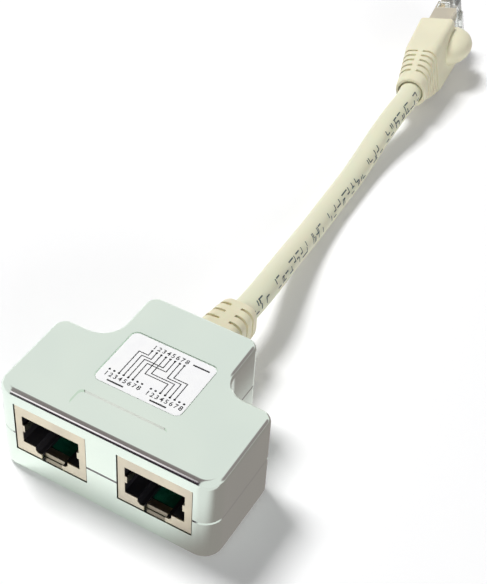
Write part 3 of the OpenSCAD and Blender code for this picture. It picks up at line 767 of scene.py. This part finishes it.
    def print_marks(self) -> Piece:
        """Lays rows of plain strokes on the jacket, bent round it.

        Returns:
            The print's mesh.
        """
        tree = GeometryTree("jacket_print", {
            "Count": Kind.COUNT, "Pitch": Kind.NUMBER, "Start": Kind.NUMBER, "Radius": Kind.NUMBER,
            "Angle": Kind.NUMBER, "Seed": Kind.COUNT,
        })
        graph, given = tree.graph, tree.given
        row = tree.row(tree.along(given["Start"]))
        strokes = self.stroke_set(graph)
        laid = graph.add("GeometryNodeJoinGeometry")
        inside = self.inside_words(graph)
        for layer, (share, shift) in enumerate(self.layers):
            seed = graph.math("ADD", given["Seed"], float(layer * self.seed_step))
            chance = graph.add("FunctionNodeRandomValue", {"Probability": share, "Seed": seed},
                               data_type="BOOLEAN").outputs[3]
            both = graph.add("FunctionNodeBooleanMath", {0: inside, 1: chance}, operation="AND").outputs[0]
            kind = graph.add("FunctionNodeRandomValue", {4: 0, 5: self.last_stroke, "Seed": seed},
                             data_type="INT").outputs[2]
            aside = (shift * self.print_pitch, 0.0, 0.0)
            moved = graph.add("GeometryNodeTransform", {"Geometry": row, "Translation": aside})
            placed = graph.add("GeometryNodeInstanceOnPoints", {
                "Points": moved.outputs[0], "Selection": both, "Instance": strokes,
                "Pick Instance": True, "Instance Index": kind,
            })
            graph.feed(placed.outputs[0], laid.inputs[0])
        self.wrap(tree, tree.real(laid.outputs[0]))
        count = int((self.length - 2 * self.print_start) / self.print_pitch)
        piece = tree.grow("cable_print", Finishes.JACKET_INK, {
            "Count": count, "Pitch": self.print_pitch, "Start": self.print_start,
            "Radius": self.diameter / 2 + self.print_lift, "Angle": math.radians(self.print_angle),
            "Seed": self.seed,
        }, self.curve("print_line"))
        return settle(piece, Finishes.JACKET_INK)

    @staticmethod
    def wrap(tree: GeometryTree, flat: Socket) -> None:
        """Bends flat marks round the line that the tree was given, X along it and Y round it.

        Args:
            tree: The tree that is closed here.
            flat: The flat marks.
        """
        graph, given = tree.graph, tree.given
        place = graph.axes(graph.add("GeometryNodeInputPosition").outputs[0])
        sample = graph.add("GeometryNodeSampleCurve", {"Curves": given["Geometry"], "Length": place["X"]},
                           mode="LENGTH").outputs
        across = graph.vector_math("CROSS_PRODUCT", sample["Tangent"], (0.0, 0.0, 1.0))
        unit = graph.vector_math("NORMALIZE", across)
        up = graph.vector_math("CROSS_PRODUCT", unit, sample["Tangent"])
        turn = graph.math("DIVIDE", place["Y"], given["Radius"])
        angle = graph.math("SUBTRACT", given["Angle"], turn)
        parts = []
        for trig, axis in (("COSINE", up), ("SINE", unit)):
            size = graph.math("MULTIPLY", graph.math(trig, angle), given["Radius"])
            scaled = graph.add("ShaderNodeVectorMath", {0: axis, "Scale": size}, operation="SCALE")
            parts.append(scaled.outputs[0])
        spot = graph.vector_math("ADD", sample["Position"], graph.vector_math("ADD", *parts))
        moved = graph.add("GeometryNodeSetPosition", {"Geometry": flat, "Position": spot})
        tree.end(moved.outputs[0])

    def build(self, carried: Iterable[Piece]) -> None:
        """Args:
            carried: The separate pieces on the cable; not used.
        """
        jacket = self.jacket()
        self.print_marks()
        line = self.line()


def ribbon(made: Draft, points: Sequence[Point], width: float, height: float, mitre: float = 0.4) -> None:
    """Adds a flat line with mitred corners.

    Args:
        made: The mesh that takes it.
        points: Its corners in X and Y, in metres.
        width: Its width.
        height: Its Z.
        mitre: Least cosine of half a corner's turn; it limits how far a sharp corner reaches out.
    """
    sides: list[list[Vector]] = [[], []]
    spots = [Vector(p) for p in points]
    for i, spot in enumerate(spots):
        before = (spot - spots[i - 1]).normalized() if i else (spots[1] - spot).normalized()
        after = (spots[i + 1] - spot).normalized() if i + 1 < len(spots) else before
        mid = (before + after).normalized()
        out = Vector((-mid.y, mid.x)) * (width / 2 / max(mitre, mid.dot(before)))
        sides[0].append(spot + out)
        sides[1].append(spot - out)
    rows = [[made.verts.new((*p, height)) for p in row] for row in sides]
    for i in range(len(spots) - 1):
        made.faces.new((rows[1][i], rows[1][i + 1], rows[0][i + 1], rows[0][i]))


@dataclass
class Label:
    """The white label's print: three rows of numbered dots and the lines that join them.

    Its measures are in millimetres from the label's rear left corner, to the right and to the front.
    """

    rear_row: Point = (5.5, 2.75)
    left_row: Point = (1.6, 10.45)
    right_row: Point = (10.3, 10.6)
    pitch: float = 0.97
    poles: int = 8
    dot: float = 0.23
    dot_sides: int = 20
    line: float = 0.19
    lift: float = 0.012
    margin: Point = (-0.2, 0.2)
    left_sources: tuple[int, ...] = (0, 1, 4, 5)
    right_sources: tuple[int, ...] = (2, 3, 6, 7)
    targets: tuple[int, ...] = (2, 3, 4, 5)
    left_level: float = 4.0
    right_level: float = 8.1
    level_step: float = 0.6
    digit: float = 1.45
    digit_weight: float = 0.018
    rear_digits: float = -0.55
    front_digits: float = 1.6
    bars: tuple[Point, ...] = ((13.5, 1.75), (2.6, 12.85), (11.5, 12.95))
    bar: Point = (3.4, 0.34)

    def __post_init__(self) -> None:
        """Finds the label's rear left corner and its top."""
        low, high = part_box("wiring_label")
        self.corner = Vector((low.x, high.y)) + Vector(self.margin) * MM
        self.top = high.z + self.lift * MM

    def spot(self, across: float, down: float) -> Point:
        """X and Y in metres of a place on the label."""
        return (self.corner.x + across * MM, self.corner.y - down * MM)

    def dots(self) -> Piece:
        """Rows of dots, one for each row of poles.

        Returns:
            The dots.
        """
        tree = GeometryTree("dot_row", {"Count": Kind.COUNT, "Pitch": Kind.NUMBER, "Radius": Kind.NUMBER})
        graph, given = tree.graph, tree.given
        rows = {"Points": given["Geometry"], "Instance": tree.row()}
        points = tree.real(graph.add("GeometryNodeInstanceOnPoints", rows).outputs[0])
        round_dot = {"Vertices": self.dot_sides, "Radius": given["Radius"]}
        disc = graph.add("GeometryNodeMeshCircle", round_dot, fill_type="NGON").outputs[0]
        placed = graph.add("GeometryNodeInstanceOnPoints", {"Points": points, "Instance": disc})
        tree.end(placed.outputs[0])
        starts = bpy.data.meshes.new("dot_starts")
        places = [self.spot(*row) for row in (self.rear_row, self.left_row, self.right_row)]
        starts.from_pydata([(*place, self.top) for place in places], [], [])
        values = {"Count": self.poles, "Pitch": self.pitch * MM, "Radius": self.dot * MM}
        return tree.grow("label_dots", Finishes.INK, values, starts)

    def routes(self) -> Piece:
        """Lines from the rear row to the two front rows.

        Returns:
            The lines.
        """
        made = bmesh.new()
        for row, sources, first in ((self.left_row, self.left_sources, self.left_level),
                                    (self.right_row, self.right_sources, self.right_level)):
            for k, (source, target) in enumerate(zip(sources, self.targets)):
                x0 = self.rear_row[0] + source * self.pitch
                x1 = row[0] + target * self.pitch
                level = first + k * self.level_step if x1 < x0 else first - k * self.level_step
                bend = [(x0, self.rear_row[1]), (x0, level), (x1, level), (x1, row[1])]
                ribbon(made, [self.spot(*p) for p in bend], self.line * MM, self.top)
        long, thick = self.bar
        for across, down in self.bars:
            ribbon(made, [self.spot(across, down), self.spot(across + long, down)], thick * MM, self.top)
        bmesh.ops.recalc_face_normals(made, faces=made.faces[:])
        return self.piece("label_routes", made)

    def digits(self) -> Piece:
        """Plain pole numbers beside the dots.

        Returns:
            All the numbers as one mesh.
        """
        made = bmesh.new()
        for (across, down), shift in ((self.rear_row, self.rear_digits), (self.left_row, self.front_digits),
                                      (self.right_row, self.front_digits)):
            for pole in range(self.poles):
                curve = bpy.data.curves.new("digit", "FONT")
                curve.body = str(pole + 1)
                curve.size = self.digit * MM
                curve.align_x = "CENTER"
                curve.offset = self.digit_weight * MM
                plain = baked(new_object("digit_draft", curve), "digit_plain")
                x, y = self.spot(across + pole * self.pitch, down + shift)
                plain.data.transform(Matrix.Translation((x, y, self.top)))
                made.from_mesh(plain.data)
                bpy.data.objects.remove(plain)
        bmesh.ops.remove_doubles(made, verts=made.verts[:], dist=1e-7)
        return self.piece("label_digits", made)

    @staticmethod
    def piece(name: str, made: Draft) -> Piece:
        """Turns a draft into an object.

        Args:
            name: The piece's name.
            made: The draft; it is freed.

        Returns:
            The new object.
        """
        mesh = bpy.data.meshes.new(name)
        made.to_mesh(mesh)
        made.free()
        return new_object(name, mesh)

    def build(self) -> None:
        """Makes the label's sheet and its print."""
        Skin("wiring_label", "label_sheet", Finishes.LABEL).build()
        for piece in (self.dots(), self.routes(), self.digits()):
            settle(piece, Finishes.INK)


class Assembly:
    """A sub-assembly whose pieces are finished copies of CAD nodes."""

    def skins(self) -> Sequence[Skin]:
        """Its pieces, in order."""
        raise NotImplementedError

    def build(self) -> list[Piece]:
        """Makes its pieces."""
        return [skin.build() for skin in self.skins()]


class Housing(Assembly):
    """The two halves of the metallised housing."""

    def skins(self) -> Sequence[Skin]:
        """Both halves."""
        return [Skin(f"{half}_shell", f"{half}_housing", Finishes.HOUSING) for half in ("upper", "lower")]


@dataclass
class Jack(Assembly):
    """One shielded jack: screen, insulator, insert, pin block and spring wires."""

    side: Side
    screen_edge: float = 0.05 * MM
    moulded_edge: float = 0.08 * MM
    spring_edge: float = 0.06 * MM

    def skins(self) -> Sequence[Skin]:
        """The jack's five pieces."""
        word = self.side.word
        return (
            Skin(f"{word}_jack_shield", f"{word}_screen", Finishes.SCREEN, self.screen_edge),
            Skin(f"{word}_jack_body", f"{word}_insulator", Finishes.INSULATOR, self.moulded_edge),
            Skin(f"{word}_contact_insert", f"{word}_insert", Finishes.INSERT, self.moulded_edge),
            Skin(f"{word}_pin_block", f"{word}_pin_holder", Finishes.INSERT, self.moulded_edge),
            Skin(f"{word}_jack_contacts", f"{word}_springs", Finishes.CONTACT, self.spring_edge),
        )


@dataclass
class Inside(Assembly):
    """What the closed housing holds besides the jacks."""

    clamp_edge: float = 0.05 * MM

    def skins(self) -> Sequence[Skin]:
        """The board, the wires and the clamp."""
        return (
            Skin("circuit_board", "board", Finishes.BOARD),
            Skin("cable_wires", "board_wires", Finishes.WIRE),
            Skin("screen_clamp", "cable_clamp", Finishes.CLAMP, self.clamp_edge),
        )


@dataclass
class CableEnds(Assembly):
    """The pieces that go with the cord: strain relief, jacket ends, boot and plug."""

    relief_edge: float = 0.12 * MM
    nose_edge: float = 0.06 * MM
    screen_edge: float = 0.05 * MM

    def skins(self) -> Sequence[Skin]:
        """The eight pieces."""
        return (
            Skin("strain_relief", "relief", Finishes.RELIEF, self.relief_edge),
            Skin("cable_inner_end", "jacket_inner_end", Finishes.JACKET),
            Skin("cable_plug_end", "jacket_plug_end", Finishes.JACKET),
            Skin("plug_boot", "boot", Finishes.BOOT),
            Skin("plug_body", "plug_nose", Finishes.CLEAR, self.nose_edge),
            Skin("plug_shield", "plug_screen", Finishes.SCREEN, self.screen_edge),
            Skin("plug_wires", "plug_cores", Finishes.WIRE),
            Skin("plug_contacts", "plug_blades", Finishes.CONTACT),
        )


@dataclass(frozen=True)
class Lamp:
    """One soft square lamp that shines at the object."""

    name: str
    place: Place
    size: float
    watts: float
    target: Place = (0.0, 0.05, 0.0)

    def hang(self) -> None:
        """Adds the lamp; polished metal shows the room and not the lamp itself."""
        data = bpy.data.lights.new(self.name, "AREA")
        data.shape = "SQUARE"
        data.size = self.size
        data.energy = self.watts
        lamp = bpy.data.objects.new(self.name, data)
        lamp.location = self.place
        aim = Vector(self.target) - Vector(self.place)
        lamp.rotation_mode = "QUATERNION"
        lamp.rotation_quaternion = aim.to_track_quat("-Z", "Y")
        lamp.visible_glossy = False
        bpy.context.scene.collection.objects.link(lamp)


@dataclass
class Studio:
    """Camera, floor, lamps and world."""

    camera_place: Place = (87.984, -137.888, 191.297)
    azimuth: float = -27.466
    elevation: float = 42.736
    roll: float = 3.732
    focal_pixels: float = 1343.46
    image_height: float = 584.0
    sensor: float = 36.0
    clip: Point = (0.01, 10.0)
    floor_half: float = 1.5
    floor_colour: Colour = (0.90, 0.90, 0.905)
    floor_lift: float = 0.11
    fade_middle: Place = (0.0, 0.07, 0.0)
    fade: Point = (0.17, 0.34)
    # painted shade: a glowing grey patch on the floor, right of the housing, seen only by glossy rays, which
    # paints a dark reflection on the housing's right side
    painted_shade_grey: Colour = (0.32, 0.28, 0.275)
    painted_shade_left: Point = (0.009, 0.020)
    painted_shade_front: Point = (-0.030, -0.017)
    painted_shade_least: float = 0.25
    lamps: tuple[Lamp, ...] = (
        Lamp("key", (-0.70, 0.20, 1.31), 0.42, 19.6),
        Lamp("side_fill", (1.10, -0.95, 0.36), 0.8, 10.0),
    )
    daylight: float = 0.15
    walls: Colour = (0.85, 0.85, 0.85)
    ceiling: tuple[Stop, ...] = (
        (0.0, (0.85, 0.85, 0.85)), (0.33, (0.85, 0.85, 0.85)), (0.39, (0.30, 0.26, 0.27)),
        (0.48, (0.24, 0.195, 0.205)), (0.66, (0.22, 0.18, 0.19)), (0.76, (0.12, 0.09, 0.11)),
        (0.84, (0.03, 0.02, 0.03)), (1.0, (0.02, 0.012, 0.02)),
    )
    dark_sides: Band = (-0.54, -0.465, -0.17, -0.06)
    strip_sides: Band = (-0.54, -0.465, -0.35, -0.29)
    strip_heights: Band = (0.675, 0.71, 0.775, 0.82)
    strip_colour: Colour = (1.25, 1.07, 1.2)
    patch_way: Place = (0.74, 0.58, 0.36)
    patch_edge: Point = (0.90, 0.98)
    patch_colour: Colour = (0.30, 0.25, 0.26)

    def camera(self) -> None:
        """Puts the camera at the photograph's place."""
        turn, tilt, roll = (math.radians(a) for a in (self.azimuth, self.elevation, self.roll))
        ahead = Vector((math.sin(turn) * math.cos(tilt), math.cos(turn) * math.cos(tilt), -math.sin(tilt)))
        level = Vector((math.cos(turn), -math.sin(turn), 0.0))
        above = level.cross(ahead)
        right = math.cos(roll) * level + math.sin(roll) * above
        up = -math.sin(roll) * level + math.cos(roll) * above
        data = bpy.data.cameras.new("camera")
        data.sensor_fit = "VERTICAL"
        data.sensor_height = self.sensor
        data.lens = self.focal_pixels * self.sensor / self.image_height
        data.clip_start, data.clip_end = self.clip
        camera = bpy.data.objects.new("camera", data)
        rotation = Matrix((right, up, -ahead)).transposed().to_4x4()
        camera.matrix_world = Matrix.Translation(Vector(self.camera_place) * MM) @ rotation
        bpy.context.scene.collection.objects.link(camera)
        bpy.context.scene.camera = camera

    def floor(self) -> None:
        """Lays the pale floor, white to the camera but for the shadow."""
        half = self.floor_half
        corners = [(-half, -half, 0), (half, -half, 0), (half, half, 0), (-half, half, 0)]
        mesh = bpy.data.meshes.new("floor")
        mesh.from_pydata(corners, [], [(0, 1, 2, 3)])
        material = bpy.data.materials.new("floor_white")
        material.use_nodes = True
        graph = Graph(material.node_tree)
        place = graph.object_place()
        plain = graph.add("ShaderNodeBsdfDiffuse", {"Color": opaque(self.floor_colour)}).outputs[0]
        lift = graph.glow(WHITE, self.floor_lift)
        lifted = graph.add("ShaderNodeAddShader", {0: plain, 1: lift}).outputs[0]
        away = graph.measure("DISTANCE", place, self.fade_middle)
        faded = graph.mix(graph.ease(away, *self.fade), lifted, graph.glow(WHITE))
        seen = graph.mix(self.seen_rays(graph), plain, faded)
        # painted shade: glossy rays see a glowing grey patch right of the housing, a painted dark reflection
        # on the metal
        shown = graph.mix(self.painted_mirror_shade(graph, place), seen, graph.glow(self.painted_shade_grey))
        graph.add("ShaderNodeOutputMaterial", {"Surface": shown})
        mesh.materials.append(material)
        new_object("floor", mesh)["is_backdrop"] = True

    def painted_mirror_shade(self, graph: Graph, place: Socket) -> Socket:
        """Place of painted shade on the floor, right of the housing, that only the metal mirrors: a glowing
        grey patch that paints a dark reflection on the housing's right side.

        Args:
            graph: The floor's tree.
            place: Place on the floor.

        Returns:
            The factor.
        """
        spot = graph.axes(place)
        right = graph.ease(spot["X"], *self.painted_shade_left)
        rear = graph.ease(spot["Y"], *self.painted_shade_front, self.painted_shade_least)
        glossy = graph.add("ShaderNodeLightPath").outputs["Is Glossy Ray"]
        return graph.math("MULTIPLY", graph.math("MULTIPLY", right, rear), glossy)

    @staticmethod
    def seen_rays(graph: Graph) -> Socket:
        """One where a ray comes from the camera, or from metal or glass that shows the background.

        Args:
            graph: The tree that takes the nodes.

        Returns:
            The factor.
        """
        path = graph.add("ShaderNodeLightPath").outputs
        first = graph.math("MAXIMUM", path["Is Camera Ray"], path["Is Glossy Ray"])
        return graph.math("MAXIMUM", first, path["Is Transmission Ray"])

    def world(self) -> None:
        """Surrounds the object with an even daylight, and with a pale room for what the metal mirrors."""
        world = bpy.data.worlds.new("studio")
        world.use_nodes = True
        graph = Graph(world.node_tree)
        lit = graph.backdrop(opaque(WHITE), self.daylight)
        mirrored = graph.mix(self.seen_rays(graph), lit, graph.backdrop(self.room(graph)))
        camera = graph.add("ShaderNodeLightPath").outputs["Is Camera Ray"]
        shown = graph.mix(camera, mirrored, graph.backdrop(opaque(WHITE)))
        graph.add("ShaderNodeOutputWorld", {"Surface": shown})
        bpy.context.scene.world = world

    def room(self, graph: Graph) -> Socket:
        """Colour of the room by direction: pale, with a narrow dark wall in front that has one bright strip.

        Args:
            graph: The world's tree.

        Returns:
            The colour.
        """
        way = graph.add("ShaderNodeTexCoord").outputs["Generated"]
        axes = graph.axes(way)
        height = graph.math("DIVIDE", graph.math("ARCTAN2", axes["Z"], axes["Y"]), math.pi)
        ramp = graph.add("ShaderNodeValToRGB", {"Fac": height})
        stops = ramp.color_ramp.elements
        while len(stops) < len(self.ceiling):
            stops.new(1.0)
        for stop, (place, colour) in zip(stops, self.ceiling):
            stop.position, stop.color = place, opaque(colour)
        outside = graph.math("SUBTRACT", 1.0, graph.between(axes["X"], self.dark_sides))
        shade = graph.blend(outside, ramp.outputs["Color"], opaque(self.walls))
        strip = graph.math("MULTIPLY", graph.between(height, self.strip_heights),
                           graph.between(axes["X"], self.strip_sides))
        shade = graph.blend(strip, shade, opaque(self.strip_colour))
        facing = graph.measure("DOT_PRODUCT", way, Vector(self.patch_way).normalized())
        return graph.blend(graph.ease(facing, *self.patch_edge), shade, opaque(self.patch_colour))

    def build(self) -> None:
        """Sets up the whole studio."""
        self.camera()
        self.floor()
        self.world()
        for lamp in self.lamps:
            lamp.hang()
        bpy.context.scene.view_settings.view_transform = "Standard"


def write_sizes() -> None:
    """Logs how much the visual model's box grows over the CAD box."""
    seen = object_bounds()
    growth = [round(((b - a) - (d - c)) / MM, 3) for a, b, c, d in zip(*seen, *CAD_BOX)]
    LOG.info("box grows by %s mm", growth)


def main() -> None:
    """Builds the studio and every sub-assembly in order."""
    logging.basicConfig(level=logging.INFO, format="%(name)s: %(message)s")
    Studio().build()
    carried = CableEnds().build()
    Cable().build(carried)
    Housing().build()
    Label().build()
    for side in Side:
        Jack(side).build()
    Inside().build()
    write_sizes()


if __name__ == "__main__":
    main()
